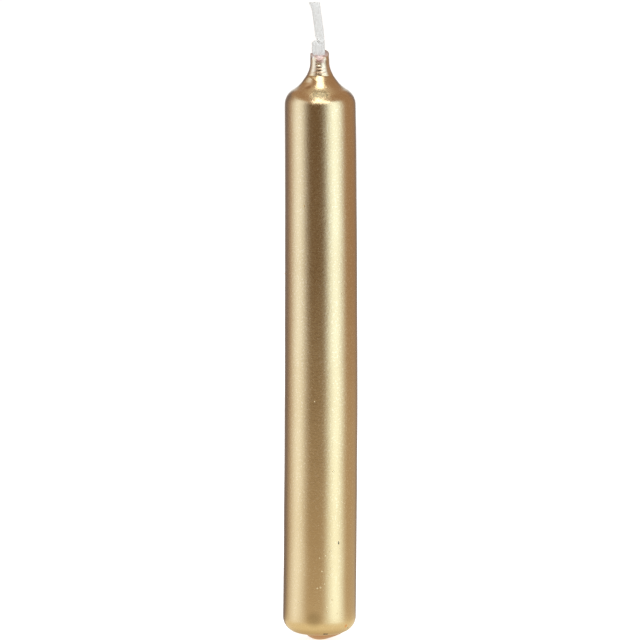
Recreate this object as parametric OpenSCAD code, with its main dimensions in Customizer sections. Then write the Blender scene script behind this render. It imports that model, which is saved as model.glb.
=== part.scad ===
// Christmas tree candle: a slim dipped candle in metallic gold with a flat braided wick.
// Millimetres, +Z up. The origin is on the candle's axis, at the tip of the drip under its base.
// From the inside out it is a wick, a drawn wax core, a wax overdip, a coat of gold lacquer,
// and the last drop of lacquer, which set under the base as the candle hung to dry.
// A slope is the angle of the surface's normal above the horizontal: 0 on an upright wall.

/* [Candle] */
// Length from the tip of the drip to the middle of the neck's rim
candle_length = 104.7; // [70:0.1:200]
// Length of the straight stretch above the base that a holder grips
seat_length = 20; // [10:0.5:40]
// Rounding of the lower edge
base_fillet = 2.75; // [1.5:0.05:4]

/* [Core and coats] */
// Diameter of the drawn wax core
core_d = 11.8; // [10:0.1:18]
// Thickness of the wax overdip at the base, where it ran down
dip_base = 0.4; // [0.2:0.05:0.8]
// Thickness of the wax overdip at the shoulder
dip_top = 0.2; // [0.1:0.05:0.3]
// Thickness of the gold lacquer at the base, where it ran down
lacquer_base = 0.2; // [0.16:0.01:0.3]
// Thickness of the gold lacquer from the shoulder up
lacquer_top = 0.15; // [0.08:0.01:0.19]

/* [Shoulder] */
// Radius of the rounded shoulder
shoulder_r = 3.1; // [2:0.1:4]
// Slope where the shoulder turns into the hollow flare
shoulder_slope = 60; // [50:1:70]
// Slope of the straight cone between the flare and the neck
cone_slope = 30; // [24:1:36]
// Length of that cone, along its side
cone_length = 1.05; // [0.4:0.05:2]

/* [Neck] */
// Diameter of the neck at the middle of its rim
neck_d = 3.25; // [2.8:0.05:4]
// Length of the neck, from the middle of its rim down to its hollow sweep
neck_length = 1.55; // [1:0.05:4]
// Slope of the neck's side
neck_slope = 2; // [0:0.1:8]
// Radius of the hollow sweep from the cone into the neck
neck_sweep = 3.6; // [1:0.1:5]
// Fall of the rim towards the front, in degrees
rim_front = 26; // [0:1:35]
// Fall of the rim towards the left, in degrees
rim_left = 3; // [0:1:20]

/* [Wick] */
// Width of the flat braid
wick_w = 1.6; // [1:0.05:1.9]
// Thickness of the flat braid
wick_t = 0.9; // [0.5:0.05:1]
// Gap between the braid and the wax round it
wick_gap = 0.05; // [0.02:0.01:0.1]
// Height of the wick's end above the middle of the rim
wick_free = 9.2; // [5:0.1:20]
// Lean of the free wick to the left, in degrees
wick_lean = 8.5; // [0:0.5:20]
// Height above the rim where the lean starts
lean_start = 2; // [1.2:0.1:3]
// Height over which the lean builds up
lean_build = 4; // [1:0.1:6]
// How far the fold at the wick's foot stands out to the left
fold_w = 0.65; // [0.1:0.05:0.7]
// Height of the fold's top above the middle of the rim
fold_top = 2.2; // [1:0.1:2.4]
// How far the cut end is splayed to the left
splay_w = 0.35; // [0:0.05:0.6]
// Length of the splayed end
splay_length = 1.2; // [0.5:0.1:2]

/* [Drip] */
// Depth of the drip under the base
drip_depth = 1.5; // [0.4:0.05:2]
// Radius of the hollow sweep between the drip and the base
drip_sweep = 0.5; // [0.1:0.1:1]
// Width of the bare flat ring between the drip and the rounded edge
drip_land = 0.1; // [0.05:0.05:1]

/* [Hidden] */
$fn = 96;
// Straight steps in each turned arc, in the long taper, in the wick's round edges and in its lean
arc_steps = 10;
taper_steps = 12;
edge_steps = 5;
lean_steps = 6;
// How far cuts run past what they cut
over = 0.5;

// Widths from the core outwards: both coats thin from the base to the shoulder
coats_base = dip_base + lacquer_base;
coats_top = dip_top + lacquer_top;
body_r = core_d / 2 + coats_base;
taper = coats_base - coats_top;

// Heights from the drip upwards
base_z = drip_depth;
rim_z = candle_length;
seat_z = base_z + base_fillet;
core_base_z = base_z + coats_base;

// The neck's side meets its sweep at neck_foot, and the sweep meets the cone at cone_top
neck_foot = [neck_d / 2 + neck_length * tan(neck_slope), rim_z - neck_length];
neck_centre = neck_foot + neck_sweep * polar(neck_slope);
cone_top = neck_centre - neck_sweep * polar(cone_slope);
cone_foot = cone_top + cone_length * [sin(cone_slope), -cos(cone_slope)];
// The flare takes up what is left between the cone's foot and the shoulder
shoulder_end_r = body_r - taper - shoulder_r * (1 - cos(shoulder_slope));
flare_r = (shoulder_end_r - cone_foot.x) / (cos(cone_slope) - cos(shoulder_slope));
flare_centre = cone_foot + flare_r * polar(cone_slope);
shoulder_centre = flare_centre - (flare_r + shoulder_r) * polar(shoulder_slope);
base_centre = [body_r - base_fillet, seat_z];
// The neck is turned past its rim, which a tilted cut then trims
neck_end_z = rim_z + neck_d / 2 * (tan(rim_front) + tan(rim_left)) + over;

// The drip spreads over the flat base and its sweep ends level with it
drip_reach = base_centre.x - drip_land;
drip_angle = 2 * atan(drip_depth / drip_reach);
drip_ball_r = drip_reach / sin(drip_angle) - drip_sweep;

// The free wick: heights above the rim, each with the width that it adds on the left
fold_foot = wick_t / 2 * tan(rim_front) + wick_gap;
fold_ease = 0.35;
splay_foot = wick_free - splay_length;
fold_rows = [
    [fold_foot, 0],
    [fold_foot + fold_ease, fold_w],
    [fold_top, fold_w],
    [fold_top + fold_ease, 0]
];
splay_rows = [
    [splay_foot, 0],
    [wick_free, splay_w]
];
widening = concat(fold_rows, splay_rows);
lean_from = fold_top + fold_ease;
lean_heights = [for (i = [1:lean_steps - 1]) lean_from + (splay_foot - lean_from) * i / lean_steps];
wick_heights = concat(
    [core_base_z - rim_z],
    [for (row = fold_rows) row[0]],
    lean_heights,
    [for (row = splay_rows) row[0]]
);

function polar(angle) = [cos(angle), sin(angle)];

// Points of an arc after its start, because the stretch before it ends there
function arc(centre, radius, from, to) =
    [for (i = [1:arc_steps]) centre + radius * polar(from + (to - from) * i / arc_steps)];

// Side of the finished candle from the straight seat to the shoulder, at a share of the height between them
function taper_point(share) =
    [body_r - taper * pow(share, 2), seat_z + seat_length + share * (shoulder_centre.y - seat_z - seat_length)];

// The same point under a coat that thins evenly from the seat's foot to the shoulder
function under_coat(point, base_inset, top_inset) =
    let (share = (point.y - seat_z) / (shoulder_centre.y - seat_z))
    point - [base_inset + (top_inset - base_inset) * share, 0];

// From the shoulder over the flare to the cone's top, at a depth under the surface
function head(inset) = concat(
    arc(shoulder_centre, shoulder_r - inset, 0, shoulder_slope),
    arc(flare_centre, flare_r + inset, shoulder_slope + 180, cone_slope + 180),
    [neck_centre - (neck_sweep + inset) * polar(cone_slope)]
);

// Half outline of the candle without its drip, under a coat of these thicknesses
function skin(base_inset, top_inset) =
    let (foot = neck_centre - (neck_sweep + top_inset) * polar(neck_slope))
    concat(
        [[0, base_z + base_inset], [base_centre.x, base_z + base_inset]],
        arc(base_centre, base_fillet - base_inset, -90, 0),
        [for (i = [0:taper_steps]) under_coat(taper_point(i / taper_steps), base_inset, top_inset)],
        head(top_inset),
        arc(neck_centre, neck_sweep + top_inset, cone_slope + 180, neck_slope + 180),
        [[foot.x - (neck_end_z - foot.y) * tan(neck_slope), neck_end_z], [0, neck_end_z]]
    );

// Half outline of the drawn core: straight sides, a rounded lower edge and a trimmed head
function core_outline() =
    let (top = head(coats_top))
    concat(
        [[0, core_base_z], [base_centre.x, core_base_z]],
        arc(base_centre, base_fillet - coats_base, -90, 0),
        [[core_d / 2, shoulder_centre.y]],
        top,
        [[0, top[len(top) - 1].y]]
    );

function drip_outline() = concat(
    [[0, 0]],
    arc([0, drip_ball_r], drip_ball_r, -90, drip_angle - 90),
    arc([drip_reach, base_z - drip_sweep], drip_sweep, 90 + drip_angle, 90),
    [[0, base_z]]
);

// Flat braid's section: a strip with round edges
function strip(width, thickness) =
    [for (side = [0, 1], i = [0:edge_steps])
        (width - thickness) / 2 * [1 - 2 * side, 0]
        + thickness / 2 * polar(180 * side - 90 + 180 * i / edge_steps)];

// Sideways place of the braid's middle at a height above the rim: upright, then a bend, then a straight lean
function lean(height) =
    let (rise = height - lean_start)
    rise < 0 ? 0
    : rise < lean_build ? -tan(wick_lean) * pow(rise, 2) / (2 * lean_build)
    : -tan(wick_lean) * (rise - lean_build / 2);

function wick_ring(height) =
    let (extra = lookup(height, widening))
    [for (p = strip(wick_w + extra, wick_t)) [p.x + lean(height) - extra / 2, p.y, rim_z + height]];

module turned(outline) rotate_extrude() polygon(outline);

// What lies above the tilted rim of the neck
module above_rim() {
    size = 2 * neck_d;
    translate([0, 0, rim_z])
        rotate([rim_front, -rim_left, 0])
            translate([-size / 2, -size / 2, 0])
                cube(size);
}

// Flat section with true round edges
module strip_face(width, thickness) {
    square([width - thickness, thickness], center = true);
    for (side = [-1, 1])
        translate([side * (width - thickness) / 2, 0])
            circle(d = thickness);
}

// Room for the wick, from a height up through the neck
module wick_channel(from_z) {
    translate([0, 0, from_z])
        linear_extrude(neck_end_z + over - from_z)
            strip_face(wick_w + 2 * wick_gap, wick_t + 2 * wick_gap);
}

module wick() {
    rings = [for (height = wick_heights) wick_ring(height)];
    count = len(rings[0]);
    last = (len(rings) - 1) * count;
    color("whitesmoke")
        polyhedron(
            points = [for (ring = rings) each ring],
            faces = concat(
                [[for (j = [0:count - 1]) j]],
                [[for (j = [count - 1:-1:0]) last + j]],
                [for (i = [0:len(rings) - 2], j = [0:count - 1])
                    [i * count + j, (i + 1) * count + j, (i + 1) * count + (j + 1) % count]],
                [for (i = [0:len(rings) - 2], j = [0:count - 1])
                    [i * count + j, (i + 1) * count + (j + 1) % count, i * count + (j + 1) % count]]
            )
        );
}

module wax_core() {
    color("ivory")
        difference() {
            turned(core_outline());
            wick_channel(core_base_z - over);
        }
}

module dip_coat() {
    color("bisque")
        difference() {
            turned(skin(lacquer_base, lacquer_top));
            turned(core_outline());
            wick_channel(seat_z);
            above_rim();
        }
}

module gold_lacquer() {
    color("darkkhaki")
        difference() {
            turned(skin(0, 0));
            turned(skin(lacquer_base, lacquer_top));
            above_rim();
        }
}

module drip_bead() {
    color("darkgoldenrod")
        turned(drip_outline());
}

wick();
wax_core();
dip_coat();
gold_lacquer();
drip_bead();
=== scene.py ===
# %% [markdown]
# # A gold-dipped tree candle
# The real thing is a slim wax candle for a clip-on holder on a Christmas tree. A wick runs through a drawn
# wax core, a second dip of softer wax rounds it off, and a last dip in gold lacquer gives it its colour.
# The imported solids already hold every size, so this lesson dresses them: it turns, bends and dents finer
# meshes of the same sizes, gives each one its finish, and lights them as a product photograph is lit.

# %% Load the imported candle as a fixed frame
import math

import bmesh
import bpy
from mathutils import Matrix, Vector, noise


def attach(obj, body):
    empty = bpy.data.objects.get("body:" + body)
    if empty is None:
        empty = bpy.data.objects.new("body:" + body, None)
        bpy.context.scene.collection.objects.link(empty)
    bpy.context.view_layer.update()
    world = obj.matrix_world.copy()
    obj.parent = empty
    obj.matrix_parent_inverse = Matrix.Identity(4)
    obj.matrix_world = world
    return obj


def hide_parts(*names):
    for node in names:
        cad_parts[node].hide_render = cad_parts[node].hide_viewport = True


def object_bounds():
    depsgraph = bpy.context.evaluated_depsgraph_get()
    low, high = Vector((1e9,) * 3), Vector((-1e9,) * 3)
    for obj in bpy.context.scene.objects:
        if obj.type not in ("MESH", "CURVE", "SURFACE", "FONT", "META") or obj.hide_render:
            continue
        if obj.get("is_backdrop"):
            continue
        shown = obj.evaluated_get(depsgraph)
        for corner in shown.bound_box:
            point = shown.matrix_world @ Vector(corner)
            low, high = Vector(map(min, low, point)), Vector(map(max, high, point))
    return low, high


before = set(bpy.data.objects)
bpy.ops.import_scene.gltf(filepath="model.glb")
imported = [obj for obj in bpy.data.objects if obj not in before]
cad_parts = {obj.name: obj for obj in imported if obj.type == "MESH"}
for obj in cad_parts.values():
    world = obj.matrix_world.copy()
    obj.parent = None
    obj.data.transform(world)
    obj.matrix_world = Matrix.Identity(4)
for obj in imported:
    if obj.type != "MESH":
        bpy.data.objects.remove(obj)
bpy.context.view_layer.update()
MM = 0.001

# %% [markdown]
# ## The camera
# The photograph looks down on the candle by a few degrees from far away, so its sides hardly converge. A
# camera 800 mm away with a long lens does the same. The lens could be found by trial. Here it follows from
# the scale: how many pixels of the 640 a millimetre at the candle's axis takes up.

# %% Place the camera
PHOTO_PX = 640
PX_PER_MM = 5.651
CAMERA_MM = 800
LOOK_DOWN = math.radians(8)
AIM_MM = Vector((0.1, 0, 57.6))

camera = bpy.data.objects.new("camera", bpy.data.cameras.new("camera"))
bpy.context.scene.collection.objects.link(camera)
backwards = Vector((0, -math.cos(LOOK_DOWN), math.sin(LOOK_DOWN)))
camera.location = (AIM_MM + backwards * CAMERA_MM) * MM
camera.rotation_euler = (-backwards).to_track_quat("-Z", "Y").to_euler()
camera.data.lens = PX_PER_MM * CAMERA_MM * camera.data.sensor_width / PHOTO_PX
bpy.context.scene.camera = camera
bpy.context.scene.view_settings.view_transform = "Standard"
print("lens in mm:", round(camera.data.lens, 1))

# %% [markdown]
# ## Turned walls
# Every coat of this candle is round, so each one is drawn as half an outline and spun about the axis, as a
# turner works. The outline could be a long list of points. Here it is drawn with the same two moves that a
# draughtsman has: a straight line, and an arc about a centre, which is a spin of a single vertex.

# %% Sizes of the dipped candle, in millimetres
# The body: its radius at the foot, and how much thinner it is under the shoulder
BODY_R, TAPER = 6.5, 0.25
# Heights of the base and of both ends of the straight seat, which goes into a holder
BASE_Z, SEAT_Z, SEAT_END = 1.5, 4.25, 24.25
# The neck: the height of its rim, its radius there, its length, and how much is drawn above it to be cut off
RIM_Z, NECK_R, NECK_LENGTH, NECK_SPARE = 104.7, 1.625, 1.55, 2
# Radii of the rounded base, the shoulder and the sweep into the neck, and the cone's length under that sweep
BASE_FILLET, SHOULDER_R, NECK_SWEEP, CONE_LENGTH = 2.75, 3.1, 3.6, 1.05
# How far the wall leans in at the shoulder's end, on the cone and on the neck
SHOULDER_SLOPE, CONE_SLOPE, NECK_SLOPE = (math.radians(angle) for angle in (60, 30, 2))
# The lacquer's thickness at the base and at the top
LACQUER_BASE, LACQUER_TOP = 0.2, 0.15


def polar(angle, length=1.0):
    """A step in the half outline, as a radius and a height."""
    return Vector((math.cos(angle), math.sin(angle))) * length


base_centre = Vector((BODY_R - BASE_FILLET, SEAT_Z))
neck_foot = Vector((NECK_R + NECK_LENGTH * math.tan(NECK_SLOPE), RIM_Z - NECK_LENGTH))
neck_centre = neck_foot + polar(NECK_SLOPE, NECK_SWEEP)
cone_top = neck_centre - polar(CONE_SLOPE, NECK_SWEEP)
cone_foot = cone_top + polar(CONE_SLOPE - math.pi / 2, CONE_LENGTH)
shoulder_end_r = BODY_R - TAPER - SHOULDER_R * (1 - math.cos(SHOULDER_SLOPE))
flare_r = (shoulder_end_r - cone_foot.x) / (math.cos(CONE_SLOPE) - math.cos(SHOULDER_SLOPE))
flare_centre = cone_foot + polar(CONE_SLOPE, flare_r)
shoulder_centre = flare_centre - polar(SHOULDER_SLOPE, flare_r + SHOULDER_R)
NECK_END = RIM_Z + NECK_SPARE
print("shoulder starts at", round(shoulder_centre.y, 2), "and the cone ends at", round(cone_top.y, 2))

# %% Draw half outlines and spin them
TURN_STEPS = 160
TAPER_STEPS = 12
WELD = 1e-4


def draw_line(bm, end, radius, height):
    """Draws on from a vertex in a straight line and returns the new end."""
    (end,) = bmesh.ops.extrude_vert_indiv(bm, verts=[end])["verts"]
    end.co = (radius, 0, height)
    return end


def draw_arc(bm, end, centre, angle, steps):
    """Draws on from a vertex along an arc, anticlockwise for an angle above 0, and returns the new end."""
    made = bmesh.ops.spin(
        bm, geom=[end], cent=(centre.x, 0, centre.y), axis=(0, -1, 0), angle=angle, steps=steps)
    return next(item for item in made["geom_last"] if isinstance(item, bmesh.types.BMVert))


def draw_side(bm, base_inset, top_inset, arc_steps):
    """Draws the candle's side, from the axis under the base to above the rim, at a depth inside it."""
    end = bm.verts.new((0, 0, BASE_Z + base_inset))
    end = draw_line(bm, end, base_centre.x, BASE_Z + base_inset)
    end = draw_arc(bm, end, base_centre, math.pi / 2, arc_steps)
    for step in range(TAPER_STEPS + 1):
        share = step / TAPER_STEPS
        height = SEAT_END + share * (shoulder_centre.y - SEAT_END)
        thinned = (height - SEAT_Z) / (shoulder_centre.y - SEAT_Z)
        inset = base_inset + (top_inset - base_inset) * thinned
        end = draw_line(bm, end, BODY_R - TAPER * share ** 2 - inset, height)
    end = draw_arc(bm, end, shoulder_centre, SHOULDER_SLOPE, arc_steps)
    end = draw_arc(bm, end, flare_centre, CONE_SLOPE - SHOULDER_SLOPE, arc_steps)
    top = neck_centre - polar(CONE_SLOPE, NECK_SWEEP + top_inset)
    end = draw_line(bm, end, top.x, top.y)
    end = draw_arc(bm, end, neck_centre, NECK_SLOPE - CONE_SLOPE, arc_steps)
    foot = neck_centre - polar(NECK_SLOPE, NECK_SWEEP + top_inset)
    return draw_line(bm, end, foot.x - (NECK_END - foot.y) * math.tan(NECK_SLOPE), NECK_END)


def divide(bm, longest, above=-math.inf):
    """Cuts each line of an outline that is longer than this, above a height, into even pieces."""
    for edge in list(bm.edges):
        pieces = math.ceil(edge.calc_length() / longest)
        if pieces > 1 and min(v.co.z for v in edge.verts) > above:
            bmesh.ops.subdivide_edges(bm, edges=[edge], cuts=pieces - 1)


def turn(bm):
    """Spins the outlines in a bmesh once round the candle's axis and closes the seam and the poles."""
    bmesh.ops.spin(
        bm, geom=bm.verts[:] + bm.edges[:], cent=(0, 0, 0), axis=(0, 0, 1),
        angle=math.tau, steps=TURN_STEPS, use_merge=True)
    bmesh.ops.remove_doubles(bm, verts=bm.verts, dist=WELD)


print("a facet of the body is", round(math.tau * BODY_R / TURN_STEPS, 2), "mm wide")

# %% [markdown]
# ## Marks of the hand
# No dipped candle is a perfect turning. This one is bent by a third of a millimetre and its walls swell and
# sink where wax ran. Its neck is wrinkled and lumpy where the wax was squeezed round the wick, a crease and a
# pinch ring the neck's foot with a dent beside them, and its rim is slanted and ragged. These could be
# sculpted. Here each is a short sum that moves a point of the perfect candle to its real place, and all
# coats share the sums, so they stay nested however much the candle is bent.

# %% Bend the candle and let its walls swell
# The bend to the right: how far, the height of its middle, and how far from there it ends
BOW, BOW_MIDDLE, BOW_REACH = 0.3, 57, 53
# The swellings: how high and long, how drawn out upwards, and the heights where they start and are full
SWELL, SWELL_LENGTH, SWELL_UPWARDS = 0.035, 9.0, 0.45
SWELL_FROM, SWELL_FULL = 3, 12
# A wave of Blender's noise is about this many units long
NOISE_WAVE = 2


def ease(value, low, high):
    """Rises smoothly from 0 at low to 1 at high."""
    share = min(max((value - low) / (high - low), 0.0), 1.0)
    return share * share * (3 - 2 * share)


def bell(value, width):
    """Falls smoothly from 1 at 0 to about a third at this width."""
    return math.exp(-((value / width) ** 2))


def at_least(low, share):
    """Rises evenly from low to 1 as a share rises from 0 to 1."""
    return low + (1 - low) * share


def bow_at(height):
    """Sideways bend of the candle at a height: none at the base, most at the middle."""
    return BOW * (1 - ((height - BOW_MIDDLE) / BOW_REACH) ** 2)


def swell_at(place):
    """Radial swelling of the wall at a place."""
    x, y, z = place
    wave = noise.noise(Vector((x, y, z * SWELL_UPWARDS)) * NOISE_WAVE / SWELL_LENGTH)
    return SWELL * wave * ease(z, SWELL_FROM, SWELL_FULL)


print("bend at the base, middle and rim:", [round(bow_at(z), 2) for z in (BASE_Z, BOW_MIDDLE, RIM_Z)])

# %% Wrinkle the neck, and crease, pinch and dent its foot
# Wrinkles: how high, how far apart, the height of one of them, and how much they wind up and down
WRINKLE, WRINKLE_STEP, WRINKLE_Z, WRINKLE_WIND = 0.036, 0.58, 103.15, 0.7
# They are strongest in front, they fade in above the crease, and they fade out under the rim
WRINKLE_FRONT, WRINKLE_SPREAD, WRINKLE_BACK = math.radians(-95), math.radians(20), 0.12
WRINKLE_START, WRINKLE_TOP, WRINKLE_END = 0.25, 1.0, 0.3
PATCHY, PATCHY_SWING, PATCHY_UPWARDS, PATCHY_SCALE = 0.7, 0.9, 0.6, 1.7
# Lumps: how high, how long, and how far under the rim they start and are full
LUMP, LUMP_LENGTH, LUMP_FROM, LUMP_FULL = 0.05, 0.5, 1.8, 0.8
# The crease: its depth, half width and height, and how it wanders up and down
CREASE, CREASE_W, CREASE_Z = 0.02, 0.1, 101.05
CREASE_WAVE, CREASE_TURN, CREASE_KINK = 0.08, 2.2, 0.04
# The pinch: its depth, its reach up and down, its share behind, and how far the dent shortens it
PINCH, PINCH_UP, PINCH_DOWN, PINCH_BACK, PINCH_CUT = 0.3, 1.35, 0.9, 0.3, 0.8
# The dent: its depth, how far under the crease it is deepest, its direction, and its half width
DENT, DENT_DROP, DENT_SIDE, DENT_SPREAD = 0.3, 1.2, math.radians(-136), math.radians(23)
# Nothing moves on the axis: radii where a move starts and is full
POLE_R, POLE_FULL = 0.2, 1.2


def wrinkle_at(place, around):
    """Radial move of the wall where the neck is wrinkled and lumpy."""
    x, y, z = place
    on_neck = ease(z, CREASE_Z, CREASE_Z + WRINKLE_START)
    on_neck *= 1 - ease(z, RIM_Z - WRINKLE_TOP, RIM_Z - WRINKLE_END)
    in_front = bell(math.remainder(around - WRINKLE_FRONT, math.tau), WRINKLE_SPREAD)
    ring = math.sin(math.tau * (z - WRINKLE_Z) / WRINKLE_STEP + WRINKLE_WIND * math.sin(2 * around))
    patchy = PATCHY + PATCHY_SWING * noise.noise(Vector((x, y, PATCHY_UPWARDS * z)) * PATCHY_SCALE)
    lump = ease(z, RIM_Z - LUMP_FROM, RIM_Z - LUMP_FULL) * noise.noise(place / LUMP_LENGTH)
    return WRINKLE * on_neck * ring * patchy * at_least(WRINKLE_BACK, in_front) + LUMP * lump


def press_at(height, around):
    """How deep the wall is pressed in at the foot of the neck."""
    wander = CREASE_WAVE * math.sin(around + CREASE_TURN) + CREASE_KINK * math.sin(2 * around)
    line = height - CREASE_Z + wander
    dented = bell(math.remainder(around - DENT_SIDE, math.tau), DENT_SPREAD)
    pinch_down = PINCH_DOWN * (1 - PINCH_CUT * dented)
    pinch = max(1 - line / PINCH_UP, 0) ** 2 if line > 0 else ease(line, -pinch_down, 0)
    pinch *= at_least(PINCH_BACK, max(-math.sin(around), 0))
    sunk = min(max(-line / DENT_DROP, 0), 1) * ease(line, -2 * DENT_DROP, -DENT_DROP)
    return CREASE * bell(line, CREASE_W) + PINCH * pinch + DENT * sunk * dented


def move_at(place):
    """Radial move of the surface at a place on the perfect candle."""
    around = math.atan2(place.y, place.x)
    move = swell_at(place) + wrinkle_at(place, around) - press_at(place.z, around)
    return move * ease(math.hypot(place.x, place.y), POLE_R, POLE_FULL)


print("pressed in at the crease, in front and behind:",
      [round(press_at(CREASE_Z, side), 2) for side in (-math.pi / 2, math.pi / 2)])

# %% Slant and tear the rim, and move a whole mesh
# How far the rim falls to the front and to the left
RIM_FRONT, RIM_LEFT = math.radians(26), math.radians(3)
# The rim's high and low places: degrees round from the right, how far up, and their half width in degrees
RAGS = ((182, 0.22, 26), (132, -0.3, 28), (-55, 0.25, 16), (-95, -0.08, 12), (-132, 0.35, 18))
RAG_DEPTH = 1.4

rim_middle = Vector((0, 0, RIM_Z))
rim_normal = (Matrix.Rotation(-RIM_LEFT, 3, "Y") @ Matrix.Rotation(RIM_FRONT, 3, "X")) @ Vector((0, 0, 1))


def rag_at(place):
    """Upward move of the surface near the ragged rim."""
    degrees = math.degrees(math.atan2(place.y, place.x))
    rise = sum(high * bell(math.remainder(degrees - middle, 360), wide) for middle, high, wide in RAGS)
    return rise * ease((place - rim_middle).dot(rim_normal), -RAG_DEPTH, 0)


def dip(bm):
    """Moves all of a turned mesh to its real place."""
    for vert in bm.verts:
        x, y, z = vert.co
        grow = 1 + move_at(vert.co) / max(math.hypot(x, y), POLE_R)
        vert.co = (x * grow + bow_at(z), y * grow, z + rag_at(vert.co))


print("the rim falls", round(math.degrees(math.acos(rim_normal.z)), 1), "degrees")

# %% [markdown]
# ## Handing a mesh over
# The meshes are drawn in millimetres, because that is how a candle is measured. Blender and the frame work in
# metres, so one function scales a finished mesh, turns its faces outwards, hangs it on the candle's root and
# hides the solids that it stands for. The object itself stays at the origin.

# %% Make a piece from a bmesh
def make_piece(name, bm, slot, *nodes):
    """Makes the object of a finished mesh in millimetres, riding on the candle in place of CAD nodes."""
    bmesh.ops.recalc_face_normals(bm, faces=bm.faces)
    bmesh.ops.scale(bm, vec=(MM, MM, MM), verts=bm.verts)
    mesh = bpy.data.meshes.new(name)
    bm.to_mesh(mesh)
    bm.free()
    mesh.shade_smooth()
    piece = bpy.data.objects.new(name, mesh)
    bpy.context.scene.collection.objects.link(piece)
    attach(piece, "root")
    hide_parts(*nodes)
    triangles = sum(len(face.vertices) - 2 for face in mesh.polygons)
    print(f"{name}: {triangles} triangles, sides in mm {[round(side / MM, 2) for side in piece.dimensions]}")
    return piece


# %% [markdown]
# ## The gold lacquer
# The lacquer is a skin about a sixth of a millimetre thick. It could be a solidified surface, but its wall
# thins towards the top, so its inner and outer sides are both drawn and turned. A tilted plane then cuts both
# at the neck, and a bridge between the two cuts makes the skin's rim.

# %% Turn the skin and cut its rim
CUT_NEAR = 1e-5
# Steps along an arc that shows and along a hidden one
OUTER_STEPS, INNER_STEPS = 16, 8
# The longest lines left on the body, the flare and the neck, and how far under the cone's top the last start
BODY_CELL, FLARE_CELL, NECK_CELL, NECK_LAP = 1.0, 0.14, 0.09, 0.5


def cut_rim(bm, lower=0.0):
    """Cuts a turned wall off along the tilted rim, or this far under it, and closes it there."""
    cut = bmesh.ops.bisect_plane(
        bm, geom=bm.verts[:] + bm.edges[:] + bm.faces[:], plane_co=rim_middle - rim_normal * lower,
        plane_no=rim_normal, clear_outer=True, dist=CUT_NEAR)["geom_cut"]
    edges = [item for item in cut if isinstance(item, bmesh.types.BMEdge)]
    return bmesh.ops.bridge_loops(bm, edges=edges)["faces"]


skin = bmesh.new()
draw_side(skin, 0, 0, OUTER_STEPS)
divide(skin, BODY_CELL)
divide(skin, FLARE_CELL, above=flare_centre.y - flare_r)
divide(skin, NECK_CELL, above=cone_top.y - NECK_LAP)
draw_side(skin, LACQUER_BASE, LACQUER_TOP, INNER_STEPS)
turn(skin)
rim_faces = cut_rim(skin)
print("faces across the rim:", len(rim_faces))

# %% Bend and wrinkle the skin, and set the pin-head bumps on it
# Dust and bubbles were caught in the lacquer as it dried. Those on the side of the photograph are where it
# shows them: degrees round from the right, then the height.
BUMPS = (
    (-91, 16.0), (-82, 16.4), (-75, 18.2), (-74, 17.2), (-75, 16.6), (-87, 13.6), (-73, 14.0), (-74, 12.9),
    (-83, 11.3), (-94, 10.55), (-89, 10.65), (-125, 7.7), (-129, 7.3), (-70, 8.4), (-79, 7.1), (-78, 6.3),
    (-61, 5.8), (-54, 5.6), (-128, 21.0), (-70, 31.5), (-100, 44.0), (-55, 63.0), (-118, 78.5),
    (20, 14.0), (75, 22.5), (140, 9.5), (165, 41.0), (100, 58.0), (40, 83.0), (-170, 66.0), (120, 90.0),
)
# Their radius, the sizes that they take in turn, how flat they are, and how often a ball's faces are divided
BUMP_R, BUMP_SIZES, BUMP_RISE, BUMP_CUTS = 0.16, (0.7, 0.85, 1.0, 1.15), 0.45, 2

dip(skin)
bubble = skin.verts.layers.float.new("bubble")
for number, (degrees, height) in enumerate(BUMPS):
    around = math.radians(degrees)
    outwards = Vector((math.cos(around), math.sin(around), 0))
    size = BUMP_R * BUMP_SIZES[number % len(BUMP_SIZES)]
    place = Matrix.Translation(outwards * BODY_R + Vector((bow_at(height), 0, height)))
    flat = Matrix.Scale(BUMP_RISE, 4, outwards)
    made = bmesh.ops.create_icosphere(skin, subdivisions=BUMP_CUTS, radius=size, matrix=place @ flat)
    for vert in made["verts"]:
        vert[bubble] = 1
lacquer = make_piece("lacquer_skin", skin, "gold_lacquer", "gold_lacquer")

# %% [markdown]
# ## The drip
# The candle hung by its wick to dry, so the last drop of lacquer set under the base. Its outline is a flat
# ball that sweeps out into the base, so it is turned as the walls are. It was not quite still as it set: the
# drop is pulled towards the right, where it runs out up the rounded edge, and on the left it is drawn in.

# %% Turn the drip and pull it to the right
# Its depth, its reach from the axis, the radius of its sweep into the base, and how far it goes into the base
DRIP_DEPTH, DRIP_REACH, DRIP_SWEEP, DRIP_SUNK = 1.5, 3.65, 0.5, 0.06
# The pull: how far, and how much of a wave it is from the tip up to the base
DRIP_PULL, DRIP_WAVE = 0.16, 0.8 * math.pi
# How much wider it is on the right, from which radius on, and how much narrower on the left
DRIP_SPREAD, DRIP_SPREAD_R, DRIP_DRAWN = 0.28, 1.6, 0.12
DRIP_STEPS, SWEEP_STEPS, DRIP_CELL, AXIS_NEAR = 14, 8, 0.5, 0.01
drip_angle = 2 * math.atan(DRIP_DEPTH / DRIP_REACH)
drip_ball = DRIP_REACH / math.sin(drip_angle) - DRIP_SWEEP

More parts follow.
